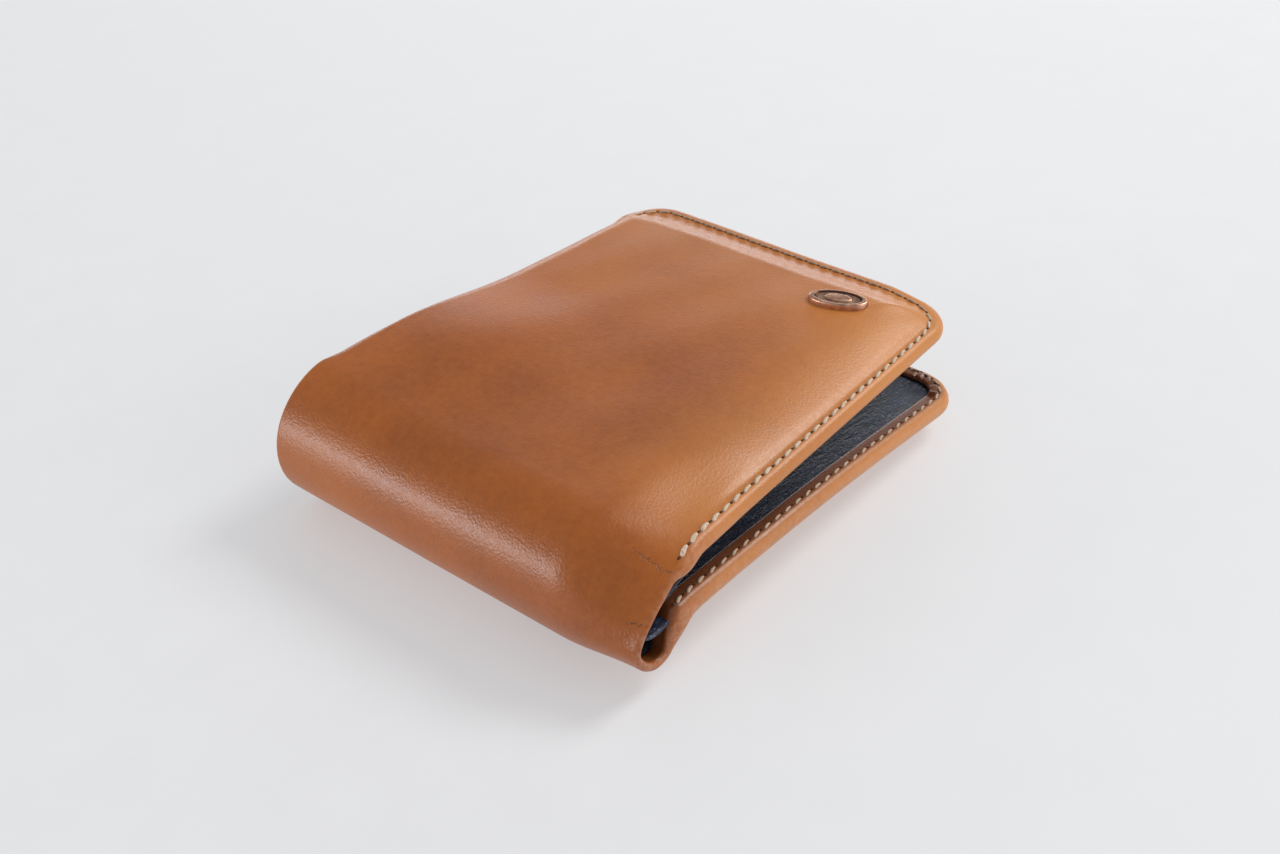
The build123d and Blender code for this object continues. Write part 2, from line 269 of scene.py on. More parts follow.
def cover_grid(side):
    """Outer surface of half the cover, from the free edge to the middle of the fold, with s of each point."""
    inset = EDGE / 2
    share = row_ys(inset)
    y = share * (SIDE_Y - inset)
    columns = int((FREE_X - SPINE_X) / GRID)
    a = np.linspace(1, 0, columns)
    leaf_x = SPINE_X + (edge_x(y, inset)[None, :] - SPINE_X) * a[:, None]
    s_leaf = QUARTER + leaf_x - SPINE_X
    arcs = int(QUARTER / GRID)
    s_arc = QUARTER * (1 - np.arange(1, arcs + 1) / arcs)
    s = np.concatenate([s_leaf, np.repeat(s_arc[:, None], len(y), 1)]) * side
    leaf_x = np.concatenate([leaf_x, np.full((arcs, len(y)), SPINE_X)])
    yy = np.repeat(y[None, :], len(s), 0)
    rim = inset + (edge_thickness(s, yy) / 2 - inset) * smooth((QUARTER + 5 - np.abs(s)) / 6)
    ends = smooth((np.abs(share) - 0.8) / 0.2)[None, :]
    yy = yy + np.sign(yy) * (inset - np.minimum(rim, inset)) * ends
    p = cover_point(s, yy, leaf_x)
    if side < 0:
        p[..., 0] -= LOW_SHORT * smooth((p[..., 0] - 30) / 24)
    return p, s, yy, leaf_x


def boundary(shape):
    """Grid places round the near side, the free edge and the far side."""
    rows, cols = shape
    far = [(i, cols - 1) for i in range(rows - 1, 0, -1)]
    free = [(0, j) for j in range(cols - 1, -1, -1)]
    near = [(i, 0) for i in range(1, rows)]
    return far + free + near


def outward(p, rows, cols):
    """Plan direction out of the edge at each place of the loop."""
    t = np.gradient(p, axis=0)
    o = -normalised(np.stack([t[:, 1], -t[:, 0], 0 * t[:, 0]], -1))
    sides = np.where(cols == 0, -1.0, 1.0)
    straight = np.stack([0 * sides, sides, 0 * sides], -1)
    return np.where((rows == 0)[:, None], o, straight)


def corner_share(p):
    """1 in the middle of a free corner, 0 away from it."""
    u = (p[:, 0] - (FREE_X - CORNER_R)) / CORNER_R
    v = (np.abs(p[:, 1]) - (SIDE_Y - CORNER_R)) / CORNER_R
    return smooth((u + 0.25) / 0.35) * smooth((v + 0.25) / 0.35)


def fold_share(side, s, y):
    """1 where the edge runs round the fold, 0 where it is sewn to a leaf."""
    turn_at, turn_over = (20.5, 3.5) if side < 0 else (21.0, 7.0)
    near = (turn_at - np.abs(s)) / turn_over
    far = (QUARTER + 2 - np.abs(s)) / 3.5
    return smooth(np.where(y < 0, near, far))


def edge_normals(side, base, o, spine):
    """Directions from the outer surface inwards: across the fold's edge, and straight through a leaf."""
    n = normalised(np.cross(normalised(np.gradient(base, axis=0)), o))
    padded = np.concatenate([n[:1].repeat(3, 0), n, n[-1:].repeat(3, 0)])
    n = normalised(np.stack([np.convolve(padded[:, k], np.ones(7) / 7, "valid") for k in range(3)], -1))
    straight = np.array([0.0, 0.0, -side])
    return normalised(-side * n * spine[:, None] + straight * (1 - spine)[:, None])


def pleats(base):
    """Relief of the leather gathered round the free corners."""
    ang = np.arctan2(np.abs(base[:, 1]) - (SIDE_Y - CORNER_R), base[:, 0] - (FREE_X - CORNER_R))
    return corner_share(base), 0.4 - np.abs(np.cos(ang * 16 + 0.9 * np.sin(ang * 7)))


def edge_rings(side, p, s, yy, leaf_x):
    """Rings of points from the outer surface round the turned edge to the hidden inner surface."""
    rows, cols = np.array(boundary(s.shape)).T
    base, s_loop, y_loop = p[rows, cols], s[rows, cols], yy[rows, cols]
    o = outward(base, rows, cols)
    spine = fold_share(side, s_loop, y_loop) * (rows != 0)
    n = edge_normals(side, base, o, spine)
    folded = edge_thickness(s_loop, y_loop) * spine
    thick = folded + np.abs(strip_z(side, base[:, 0], base[:, 1], s_loop) - base[:, 2]) * (1 - spine)
    bulge = (folded + EDGE * (1 - spine)) / 2
    rings = []
    for k in range(ROUND_STEPS + 1):
        a = math.pi * k / ROUND_STEPS
        rings.append(base + n * (thick / 2 * (1 - math.cos(a)))[:, None] + o * (bulge * math.sin(a))[:, None])
    corner, pleat = pleats(base)

    def face(w, depth, relief=0.0):
        """Points w inside the outline on the turned strip, depth below its face."""
        flat = base - o * w
        flat[:, 2] = strip_z(side, flat[:, 0], flat[:, 1], s_loop) + side * depth
        along = cover_point(s_loop, y_loop - np.sign(y_loop) * w, leaf_x[rows, cols])
        round_part = along + n * (thick - depth)[:, None]
        q = spine[:, None]
        return flat * (1 - q) + round_part * q + np.outer(relief * corner * pleat, (0, 0, side))

    for w, sink, relief in STRIP_PROFILE:
        rings.append(face(w, 0 * thick + sink, relief))
    hem = 0.4 + (TURNED - 0.4) * (1 - spine)
    width = STRIP - EDGE / 2
    rings.append(face(width, 0 * thick + 0.35))
    rings.append(face(width + 0.05, hem * 0.75))
    rings.append(face(width - 0.2, hem))
    rings.append(face(0.6, hem))
    rings.append(face(0.5, thick - np.minimum(thick * 0.5, LEATHER)))
    return rings, s_loop, o, n


def face_outwards(mesh, merge=0.0):
    """Turns a mesh's faces outwards, with points closer than merge made one."""
    bm = bmesh.new()
    bm.from_mesh(mesh)
    if merge:
        bmesh.ops.remove_doubles(bm, verts=bm.verts, dist=merge)
    bmesh.ops.recalc_face_normals(bm, faces=bm.faces)
    bm.to_mesh(mesh)
    bm.free()


def make_mesh(name, verts, faces, mats=(), face_mats=None, sharp=None):
    """Mesh object from points in millimetres."""
    mesh = bpy.data.meshes.new(name)
    mesh.from_pydata((np.asarray(verts, float) * MM).tolist(), [], [list(f) for f in faces])
    for m in mats:
        mesh.materials.append(m)
    if face_mats is not None:
        mesh.polygons.foreach_set("material_index", np.asarray(face_mats, np.int32))
    face_outwards(mesh)
    mesh.polygons.foreach_set("use_smooth", np.ones(len(mesh.polygons), bool))
    if sharp is not None:
        mesh.set_sharp_from_angle(angle=math.radians(sharp))
    mesh.update()
    obj = bpy.data.objects.new(name, mesh)
    bpy.context.scene.collection.objects.link(obj)
    return obj


def strip_faces(a, b):
    """Quads between two rows of point numbers."""
    return [(a[i], a[i + 1], b[i + 1], b[i]) for i in range(len(a) - 1)]


def inward_normals(p):
    """Normals of a surface of points that face the middle of the purse."""
    normal = normalised(np.cross(np.gradient(p, axis=0), np.gradient(p, axis=1)))
    centre = np.array([SPINE_X + 20, 0, SPINE_R])
    return normal * np.sign(np.sum((centre - p) * normal, -1).mean())


def cover_half(name, side, material):
    """Half the cover as one closed piece of leather, with its edges turned in."""
    p, s, yy, leaf_x = cover_grid(side)
    rings, s_loop, o, n = edge_rings(side, p, s, yy, leaf_x)
    inner = p + inward_normals(p) * LEATHER
    places = boundary(s.shape)
    for (i, j), at in zip(places, rings[-1]):
        inner[i, j] = at
    count = s.size
    ids = np.arange(count).reshape(s.shape)
    points = [p.reshape(-1, 3), inner.reshape(-1, 3)]
    inner_ids = ids + count
    loop_ids = [np.array([ids[i, j] for i, j in places])]
    start = 2 * count
    for ring in rings[1:-1]:
        points.append(ring)
        loop_ids.append(np.arange(start, start + len(ring)))
        start += len(ring)
    loop_ids.append(np.array([inner_ids[i, j] for i, j in places]))
    faces = []
    for i in range(s.shape[0] - 1):
        faces += strip_faces(ids[i], ids[i + 1])
        faces += strip_faces(inner_ids[i + 1], inner_ids[i])
    for a, b in zip(loop_ids[:-1], loop_ids[1:]):
        faces += strip_faces(b, a)
    faces += strip_faces(inner_ids[-1], ids[-1])
    for end in (0, -1):
        faces.append([ids_k[end] for ids_k in loop_ids])
    points = np.concatenate(points)
    if side > 0:
        points = narrowed(points)
    obj = make_mesh(name, points, faces, [material], sharp=60)
    # painted shade: none on the outer face, full on the hidden inner face, and rising over the turned strip,
    # which lies in the other leaf's shade
    hidden = [np.zeros(count), np.ones(count)]
    for k, ring in enumerate(rings[1:-1], 1):
        hidden.append(np.full(len(ring), smooth((k - 5.5) / 3.5)))
    set_point_value(obj, "painted_shade_and_patina", np.concatenate(hidden))
    return obj, rings, s_loop, o, n


# ---- materials ----
TAN_DARK = (0.29, 0.066, 0.003)
TAN_MID = (0.42, 0.105, 0.005)
TAN_LIGHT = (0.51, 0.148, 0.011)
# painted shade, for the turned strip, the fold, the middle of the top and the cracks
TAN_PAINTED_SHADE = (0.12, 0.034, 0.009)
# painted light, for the near side's slope and the free end
TAN_PAINTED_LIGHT = (0.78, 0.34, 0.09)
TAN_WORN = (0.62, 0.34, 0.2)
NAVY_DARK = (0.006, 0.009, 0.020)
NAVY_MID = (0.014, 0.022, 0.052)
NAVY_LIGHT = (0.07, 0.095, 0.17)
# painted glints
NAVY_PAINTED_GLINT = (0.34, 0.42, 0.60)
THREAD_SOILED = (0.30, 0.15, 0.065)


class Nodes:
    """Small helper that adds linked shader nodes to one material."""

    def __init__(self, name):
        self.material = bpy.data.materials.new(name)
        self.material.use_nodes = True
        self.tree = self.material.node_tree
        self.shader = self.tree.nodes["Principled BSDF"]
        self.coords = self.add("ShaderNodeTexCoord").outputs["Object"]

    def add(self, kind, inputs=None, **settings):
        node = self.tree.nodes.new(kind)
        for key, value in settings.items():
            setattr(node, key, value)
        for key, value in (inputs or {}).items():
            self.put(node.inputs[key], value)
        return node

    def put(self, socket, value):
        if isinstance(value, bpy.types.NodeSocket):
            self.tree.links.new(value, socket)
        else:
            socket.default_value = value

    def noise(self, scale, detail=2.0, rough=0.5, stretch=None):
        inputs = {"Vector": self.stretched(stretch), "Scale": scale, "Detail": detail, "Roughness": rough}
        return self.add("ShaderNodeTexNoise", inputs).outputs["Fac"]

    def cells(self, scale):
        return self.add("ShaderNodeTexVoronoi", {"Vector": self.coords, "Scale": scale},
                        feature="SMOOTH_F1").outputs["Distance"]

    def stretched(self, stretch):
        if stretch is None:
            return self.coords
        return self.add("ShaderNodeMapping", {"Vector": self.coords, "Scale": stretch}).outputs["Vector"]

    def span(self, value, low, high, to_low=0.0, to_high=1.0):
        return self.add("ShaderNodeMapRange", {"Value": value, "From Min": low, "From Max": high,
                                               "To Min": to_low, "To Max": to_high}).outputs["Result"]

    def maths(self, operation, a, b=0.0):
        return self.add("ShaderNodeMath", {0: a, 1: b}, operation=operation).outputs[0]

    def times(self, a, b):
        return self.maths("MULTIPLY", a, b)

    def tinted(self, base, share, strength, colour):
        """Base colour with some of another, where share says and as strongly as strength."""
        return self.mix(self.times(share, strength), base, (*colour, 1))

    def wave(self, scale, distortion, direction, detail_scale=1.0):
        inputs = {"Vector": self.coords, "Scale": scale, "Distortion": distortion, "Detail Scale": detail_scale}
        return self.add("ShaderNodeTexWave", inputs, bands_direction=direction).outputs["Fac"]

    def colours(self, share, *stops):
        """Colour ramp through (place, colour) stops."""
        node = self.add("ShaderNodeValToRGB", {"Fac": share})
        ramp = node.color_ramp
        while len(ramp.elements) < len(stops):
            ramp.elements.new(0.5)
        for element, (place, colour) in zip(ramp.elements, stops):
            element.position = place
            element.color = (*colour, 1)
        return node.outputs["Color"]

    def mix(self, share, a, b):
        return self.add("ShaderNodeMix", {0: share, 6: a, 7: b}, data_type="RGBA").outputs[2]

    def bump(self, height, strength, distance, below=None):
        inputs = {"Height": height, "Strength": strength, "Distance": distance * MM}
        if below is not None:
            inputs["Normal"] = below
        return self.add("ShaderNodeBump", inputs).outputs["Normal"]

    def vectors(self, operation, a, b=(0.0, 0.0, 0.0)):
        node = self.add("ShaderNodeVectorMath", {0: a, 1: b}, operation=operation)
        return node.outputs["Value" if operation in ("DOT_PRODUCT", "DISTANCE") else "Vector"]

    def crack(self, start, end):
        """Hairline between two points, in millimetres: 1 in it, 0 away from it."""
        start = np.array(start) * MM
        along = np.array(end) * MM - start
        noise = self.add("ShaderNodeTexNoise", {"Vector": self.coords, "Scale": 1100.0, "Detail": 3.0})
        wander = self.vectors("MULTIPLY", self.vectors("SUBTRACT", noise.outputs["Color"], (0.5, 0.5, 0.5)),
                              (2.2 * MM, 2.2 * MM, 2.2 * MM))
        place = self.vectors("SUBTRACT", self.vectors("ADD", self.coords, wander), tuple(start))
        share = self.span(self.vectors("DOT_PRODUCT", place, tuple(along / (along @ along))), 0.0, 1.0)
        foot = self.add("ShaderNodeVectorMath", {0: tuple(along), "Scale": share}, operation="SCALE")
        away = self.vectors("DISTANCE", place, foot.outputs["Vector"])
        return self.span(away, 0.05 * MM, 0.3 * MM, 1.0, 0.0)

    def attribute(self, name):
        return self.add("ShaderNodeAttribute", attribute_name=name).outputs["Fac"]

    def finish(self, colour, rough, normal=None, **fixed):
        self.put(self.shader.inputs["Base Color"], colour)
        self.put(self.shader.inputs["Roughness"], rough)
        if normal is not None:
            self.put(self.shader.inputs["Normal"], normal)
        for key, value in fixed.items():
            self.shader.inputs[key.replace("_", " ")].default_value = value
        return self.material


def tan_leather():
    """Polished tan leather: fine pebble grain, cloudy colour, lighter worn edges, painted shade on the turned
    strip, towards the fold and in the middle of the top, and painted light over the near side and towards the
    free end.
    """
    n = Nodes("tan_leather")
    cloud = n.noise(26, 3, 0.55)
    fine = n.noise(620, 3, 0.6)
    tone = n.maths("ADD", n.times(cloud, 0.75), n.times(fine, 0.25))
    base = n.colours(tone, (0.3, TAN_DARK), (0.52, TAN_MID), (0.75, TAN_LIGHT))
    # painted shade on the turned strip, towards the fold and in the middle of the top
    base = n.tinted(base, n.attribute("painted_shade_and_patina"), 0.85, TAN_PAINTED_SHADE)
    # painted light: lighter over the near side's slope and towards the free end
    base = n.tinted(base, n.attribute("painted_light"), 0.55, TAN_PAINTED_LIGHT)
    worn = n.times(n.attribute("worn"), n.span(n.noise(900, 4, 0.7), 0.35, 0.7))
    base = n.tinted(base, worn, 0.5, TAN_WORN)
    scuffs = n.times(n.span(n.noise(420, 5, 0.7, (1.0, 2.6, 1.0)), 0.66, 0.74),
                     n.span(n.noise(38, 1, 0.5), 0.56, 0.66))
    base = n.tinted(base, scuffs, 0.45, TAN_WORN)
    # painted shade darkens the short cracks, which the bumps below also sink
    cracks = n.crack(*CREASES[0])
    for line in CREASES[1:]:
        cracks = n.maths("MAXIMUM", cracks, n.crack(*line))
    base = n.tinted(base, cracks, 0.6, TAN_PAINTED_SHADE)
    rough = n.span(n.maths("ADD", n.times(fine, 0.6), n.times(cloud, 0.4)), 0.3, 0.7,
                   0.32, 0.46)
    coarse = n.span(n.attribute("coarse"), 0.0, 1.0, 0.55, 1.0)
    grain = n.times(n.cells(2300), coarse)
    creases = n.times(n.noise(1300, 3, 0.65), coarse)
    normal = n.bump(grain, 0.9, 0.07)
    normal = n.bump(creases, 0.4, 0.07, normal)
    normal = n.bump(n.noise(160, 3, 0.5), 0.18, 0.25, normal)
    normal = n.bump(n.maths("SUBTRACT", 1.0, cracks), 0.7, 0.2, normal)
    return n.finish(base, rough, normal, Specular_IOR_Level=0.5, Coat_Weight=0.05, Coat_Roughness=0.22)


def navy_leather(name="navy_leather"):
    """Dark blue lining leather with a streaky, wrinkled grain and small painted glints."""
    n = Nodes(name)
    streak = n.noise(520, 4, 0.65, (0.35, 1.3, 1.0))
    painted_glint = n.span(n.noise(1700, 2, 0.6, (0.6, 1.0, 1.0)), 0.62, 0.70)
    base = n.colours(streak, (0.3, NAVY_DARK), (0.55, NAVY_MID), (0.8, NAVY_LIGHT))
    # small bright dots painted on as glints
    base = n.tinted(base, painted_glint, 0.5, NAVY_PAINTED_GLINT)
    rough = n.span(streak, 0.3, 0.7, 0.38, 0.58)
    normal = n.bump(streak, 1.0, 0.35)
    normal = n.bump(n.cells(1500), 0.6, 0.08, normal)
    return n.finish(base, rough, normal, Specular_IOR_Level=0.5)


def navy_cloth():
    """Plain-woven navy lining cloth."""
    n = Nodes("navy_cloth")
    weave = n.times(n.wave(900.0, 0.4, "X"), n.wave(900.0, 0.4, "Y"))
    base = n.colours(weave, (0.0, NAVY_DARK), (1.0, NAVY_LIGHT))
    rough = n.span(n.noise(300, 2), 0.3, 0.7, 0.7, 0.85)
    return n.finish(base, rough, n.bump(weave, 0.5, 0.08), Sheen_Weight=0.25)


def thread_material(name, dark, light):
    """Waxed, two-ply sewing thread."""
    n = Nodes(name)
    fibre = n.noise(2600, 3, 0.6)
    base = n.colours(fibre, (0.3, dark), (0.7, light))
    base = n.mix(n.attribute("soiled"), base, (*THREAD_SOILED, 1))
    rough = n.span(fibre, 0.3, 0.7, 0.5, 0.7)
    return n.finish(base, rough, n.bump(fibre, 0.5, 0.05), Sheen_Weight=0.15)


def metal(name, dark, light, rough_low, rough_high):
    """Plated metal with fine scratches and darker, duller patches."""
    n = Nodes(name)
    patch = n.noise(420, 4, 0.6)
    base = n.colours(patch, (0.35, dark), (0.65, light))
    lines = n.noise(900.0, 3, 0.7, (1.0, 6.0, 1.0))
    rough = n.span(lines, 0.3, 0.7, rough_low, rough_high)
    n.shader.inputs["Metallic"].default_value = 1.0
    return n.finish(base, rough, n.bump(lines, 0.15, 0.02))


def aged_copper():
    """Antique copper, blackened in its recesses."""
    n = Nodes("badge_copper")
    patch = n.noise(500, 4, 0.6)
    base = n.colours(patch, (0.35, (0.40, 0.20, 0.13)), (0.65, (0.74, 0.45, 0.32)))
    base = n.tinted(base, n.attribute("painted_shade_and_patina"), 0.93, (0.035, 0.018, 0.012))
    rough = n.span(n.noise(900, 3, 0.7), 0.3, 0.7, 0.26, 0.42)
    n.shader.inputs["Metallic"].default_value = 1.0
    return n.finish(base, rough, n.bump(patch, 0.2, 0.03))


def board_material():
    """Grey-brown pressed board."""
    n = Nodes("board")
    fibre = n.noise(700, 4, 0.6)
    base = n.colours(fibre, (0.3, (0.16, 0.12, 0.09)), (0.7, (0.27, 0.22, 0.17)))
    return n.finish(base, n.span(fibre, 0.3, 0.7, 0.75, 0.95), n.bump(fibre, 0.3, 0.08))


def tape_material():
    """Herringbone zip tape."""
    n = Nodes("zip_tape")
    wave = n.wave(700.0, 0.6, "DIAGONAL", 2.0)
    base = n.colours(wave, (0.0, NAVY_DARK), (1.0, NAVY_MID))
    return n.finish(base, n.span(wave, 0, 1, 0.65, 0.85), n.bump(wave, 0.5, 0.1))


def dark_hole():
    """Shadowed leather inside a needle hole."""
    n = Nodes("needle_hole")
    base = n.colours(n.noise(1500, 2), (0.3, (0.06, 0.022, 0.008)), (0.7, (0.12, 0.045, 0.016)))
    return n.finish(base, n.span(n.noise(900, 2), 0.3, 0.7, 0.7, 0.9))


# ---- sheets, threads and small shapes ----
def leaf_stations(inset, x0, xs=(), ys=()):
    """Grid of plan points over a leaf, pulled in from its outline, with extra lines at xs and ys."""
    y1 = SIDE_Y - inset
    x1 = FREE_X - inset
    r = max(CORNER_R - inset * 0.5, 1.5)
    turns = np.radians(np.linspace(0, 90, 9))
    arc = y1 - r + r * np.sin(turns)
    middle = np.linspace(-(y1 - r), y1 - r, int(2 * (y1 - r)))
    y = np.unique(np.round(np.concatenate([-arc, middle, arc, ys]), 4))
    x = np.unique(np.round(np.concatenate([np.linspace(x0, x1, int(x1 - x0)), xs]), 4))
    over = np.maximum(np.abs(y) - (y1 - r), 0)
    edge = x1 - r + np.sqrt(np.maximum(r * r - over * over, 0))
    share = (x - x0) / (x1 - x0)
    gx = x0 + (edge[None, :] - x0) * share[:, None]
    return gx, np.repeat(y[None, :], len(x), 0)


def sheet_mesh(name, top, bottom, material, keep=None, narrow=False):
    """Closed thin sheet between two grids of points; keep says which squares of the grid it has."""
    rows, cols = top.shape[:2]
    ids = np.arange(rows * cols).reshape(rows, cols)
    if keep is None:
        keep = np.ones((rows - 1, cols - 1), bool)
    faces = []
    edges = {}
    for i in range(rows - 1):
        for j in range(cols - 1):
            if not keep[i, j]:
                continue
            quad = (ids[i, j], ids[i + 1, j], ids[i + 1, j + 1], ids[i, j + 1])
            faces.append(quad)
            faces.append(tuple(q + rows * cols for q in reversed(quad)))
            for a, b in zip(quad, quad[1:] + quad[:1]):
                if (b, a) in edges:
                    del edges[(b, a)]
                else:
                    edges[(a, b)] = True
    for a, b in edges:
        faces.append((b, a, a + rows * cols, b + rows * cols))
    points = np.concatenate([top.reshape(-1, 3), bottom.reshape(-1, 3)])
    used = np.unique(np.concatenate([np.array(f) for f in faces]))
    renumber = np.full(len(points), -1)
    renumber[used] = np.arange(len(used))
    points = points[used]
    faces = [tuple(renumber[list(f)]) for f in faces]
    return make_mesh(name, narrowed(points) if narrow else points, faces, [material], sharp=50)


def layer(name, gx, gy, top, bottom, material, keep=None, narrow=False):
    """Closed thin sheet from the heights of its two faces over plan points."""
    faces = (np.stack([gx, gy, z], -1) for z in (top, bottom))
    return sheet_mesh(name, *faces, material, keep, narrow)


def resample(path, step):
    """Points every step along a path, the distance of each, and the distances of the path's own points."""
    lengths = np.concatenate([[0], np.cumsum(np.linalg.norm(np.diff(path, axis=0), axis=1))])
    at = np.arange(0.0, lengths[-1], step)
    return np.stack([np.interp(at, lengths, path[:, k]) for k in range(3)], -1), at, lengths


def ring_faces(rings, count):
    """Quads between consecutive closed rings of count points."""
    return [(i * count + k, i * count + (k + 1) % count, (i + 1) * count + (k + 1) % count, (i + 1) * count + k)
            for i in range(rings - 1) for k in range(count)]


def tube(points, across, up, widths, heights, sides, twist=0.0):
    """Verts and faces of a closed tube through points, of an oval section with a two-ply twist."""
    verts = []
    count = len(points)
    for i in range(count):
        for k in range(sides):
            a = 2 * math.pi * k / sides
            ply = 1 + 0.16 * math.cos(2 * (a - twist * i / (count - 1)))
            out = across * (widths[i] * ply * math.cos(a))
            verts.append(points[i] + out + up * (heights[i] * ply * math.sin(a)))
    faces = ring_faces(count, sides)
    faces.append(tuple(range(sides))[::-1])
    faces.append(tuple(range((count - 1) * sides, count * sides)))
    return verts, faces


def stitch_row(name, path, normals, materials, width, length, slant, rise, thick_start=3, narrow=False,
               pitch=STITCH):
    """Separate stitches along a path, each between two needle holes, the first few thicker."""
    holes, at, lengths = resample(path, pitch)
    ups = normalised(np.stack([np.interp(at, lengths, normals[:, k]) for k in range(3)], -1))
    verts, faces, mats = [], [], []
    rng = np.random.default_rng(7)
    for i in range(len(holes) - 1):
        a, b = holes[i], holes[i + 1]
        up = normalised(ups[i] + ups[i + 1])
        along = normalised(b - a)
        across = normalised(np.cross(up, along))
        big = 1.28 if i < thick_start else 1.0
        tilt = slant * (1 + 0.2 * rng.normal())
        grow = big * (1 + 0.06 * rng.normal())
        t = np.linspace(-1, 1, 9)
        half = pitch * length / 2
        middle = (a + b) / 2
        centre = (middle + np.outer(t * half, along) + np.outer(t * tilt, across)
                  + np.outer(rise * grow * (1 - t ** 2) - 0.1, up))
        taper = np.sqrt(np.maximum(1 - (np.abs(t) * 0.93) ** 3, 0.02))
        v, f = tube(centre, across, up, width * grow * taper, width * 0.75 * grow * taper, 10, 2.6)
        faces += [tuple(x + len(verts) for x in face) for face in f]
        mats += [0] * len(f)
        verts += v
        v, f = tube(np.array([a - along * 0.42, a, a + along * 0.42]), across, up,
                    np.array([0.08, 0.27, 0.08]), np.array([0.04, 0.09, 0.04]), 8)
        faces += [tuple(x + len(verts) for x in face) for face in f]
        mats += [1] * len(f)
        verts += v
    verts = np.array(verts)
    return make_mesh(name, narrowed(verts) if narrow else verts, faces, materials, mats)


tan = tan_leather()
navy = navy_leather()
lining_cloth = navy_cloth()
cream = thread_material("cream_thread", (0.50, 0.38, 0.27), (0.80, 0.68, 0.54))
navy_thread = thread_material("navy_thread", (0.015, 0.02, 0.04), (0.05, 0.065, 0.11))
tape = tape_material()
brass = metal("zip_brass", (0.42, 0.27, 0.11), (0.72, 0.52, 0.24), 0.22, 0.42)
copper = aged_copper()
steel = metal("plate_steel", (0.35, 0.36, 0.38), (0.6, 0.6, 0.62), 0.3, 0.5)
board = board_material()
hole = dark_hole()


def set_point_value(obj, name, values):
    attribute = obj.data.attributes.new(name, "FLOAT", "POINT")
    attribute.data.foreach_set("value", np.asarray(values, np.float32))


def shade_cover(obj, side):
    """Stores where painted shade darkens the leather, where painted light makes it lighter, and where its edges
    are worn.
    """
    co = np.array([v.co for v in obj.data.vertices]) / MM
    x, y, z = co.T
    d_side = SIDE_Y - np.abs(y)
    d_free = FREE_X - x
    edge = np.minimum(d_side, np.where(x > 0, d_free, 99))
    # spine and middle add painted shade, towards the fold and in the middle of the top
    spine = smooth((-34 - x) / 14)
    painted_shade_and_patina = np.zeros(len(x), np.float32)
    attribute = obj.data.attributes["painted_shade_and_patina"]
    attribute.data.foreach_get("value", painted_shade_and_patina)
    middle = np.exp(-((x + 20) / 34) ** 2 - ((y + 4) / 30) ** 2)
    attribute.data.foreach_set("value", np.clip(painted_shade_and_patina + 0.12 * middle + 0.10 * spine, 0, 1).astype(np.float32))
    # painted light: lighter over the near side's slope and towards the free end, where the light falls
    painted_light = 0.75 * smooth((30 - (y + SIDE_Y)) / 30) * smooth((x + 46) / 20) + 0.5 * smooth((x + 4) / 56)
    set_point_value(obj, "painted_light", np.clip(painted_light * (1 - painted_shade_and_patina), 0, 1))
    set_point_value(obj, "coarse", smooth((-40 - x) / 8))
    rim = smooth((1.0 - edge) / 1.0) * (1 - painted_shade_and_patina)
    set_point_value(obj, "worn", np.clip(rim * 0.8 + 0.1, 0, 1))


def navy_row(name, path, facing, body, rise, width=0.24, length=0.66, slant=0.1, narrow=True):
    """Fine navy stitches on a flat piece; facing is 1 for its upper face and -1 for its lower."""
    ups = np.repeat([[0.0, 0.0, float(facing)]], len(path), 0)
    row = stitch_row(name, path, ups, [navy_thread, hole], width, length, slant, rise, 0, narrow, NAVY_STITCH)
    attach(row, body)
    return row


def bend(obj, side):
    """Bakes a piece's placement into its mesh, the same for either side of the fold."""
    if side < 0:
        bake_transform(obj)
    else:
        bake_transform(obj)


def cover():
    """The two halves of the cover, one piece of leather on the object, that meet in the middle of the fold."""
    lower = cover_half("lower_cover_leather", -1, tan)
    upper = cover_half("upper_cover_leather", 1, tan)
    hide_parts("lower_cover", "lower_turned_edge", "lower_sleeve_hem", "spine_cover")
    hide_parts("upper_cover", "upper_turned_edge", "upper_sleeve_hem")
    for piece, side in ((lower[0], -1), (upper[0], 1)):
        shade_cover(piece, side)
        bend(piece, side)
    return lower, upper


# ---- seams ----
def seam_path(half, side, on_strip):
    """Path of the sewn row from the fold's near end round the free edge, and its normals."""
    obj, rings, s_loop, o, n = half
    base = rings[0]
    if on_strip:
        path = rings[9]
        ups = n
    else:
        extra = 1.3 * smooth((base[:, 0] - 40) / 12) if side > 0 else 0 * s_loop
        moved = o * (SEAM_INSET - EDGE / 2 + extra)[:, None]
        path = base - moved
        if side > 0:
            along = s_loop - moved[:, 0]
            path = cover_point(along, path[:, 1], SPINE_X + np.maximum(along - QUARTER, 0))
        ups = -n
    near = (base[:, 1] < 0) | (base[:, 0] > 0)
    keep = near & (np.abs(s_loop) > SEAM_START[side]) & ((base[:, 1] < SIDE_Y - 3.5) | (base[:, 0] > 43))
    path, ups = path[keep], ups[keep]
    if path[0, 1] > 0:
        path, ups = path[::-1], ups[::-1]
    return path + ups * 0.06, ups


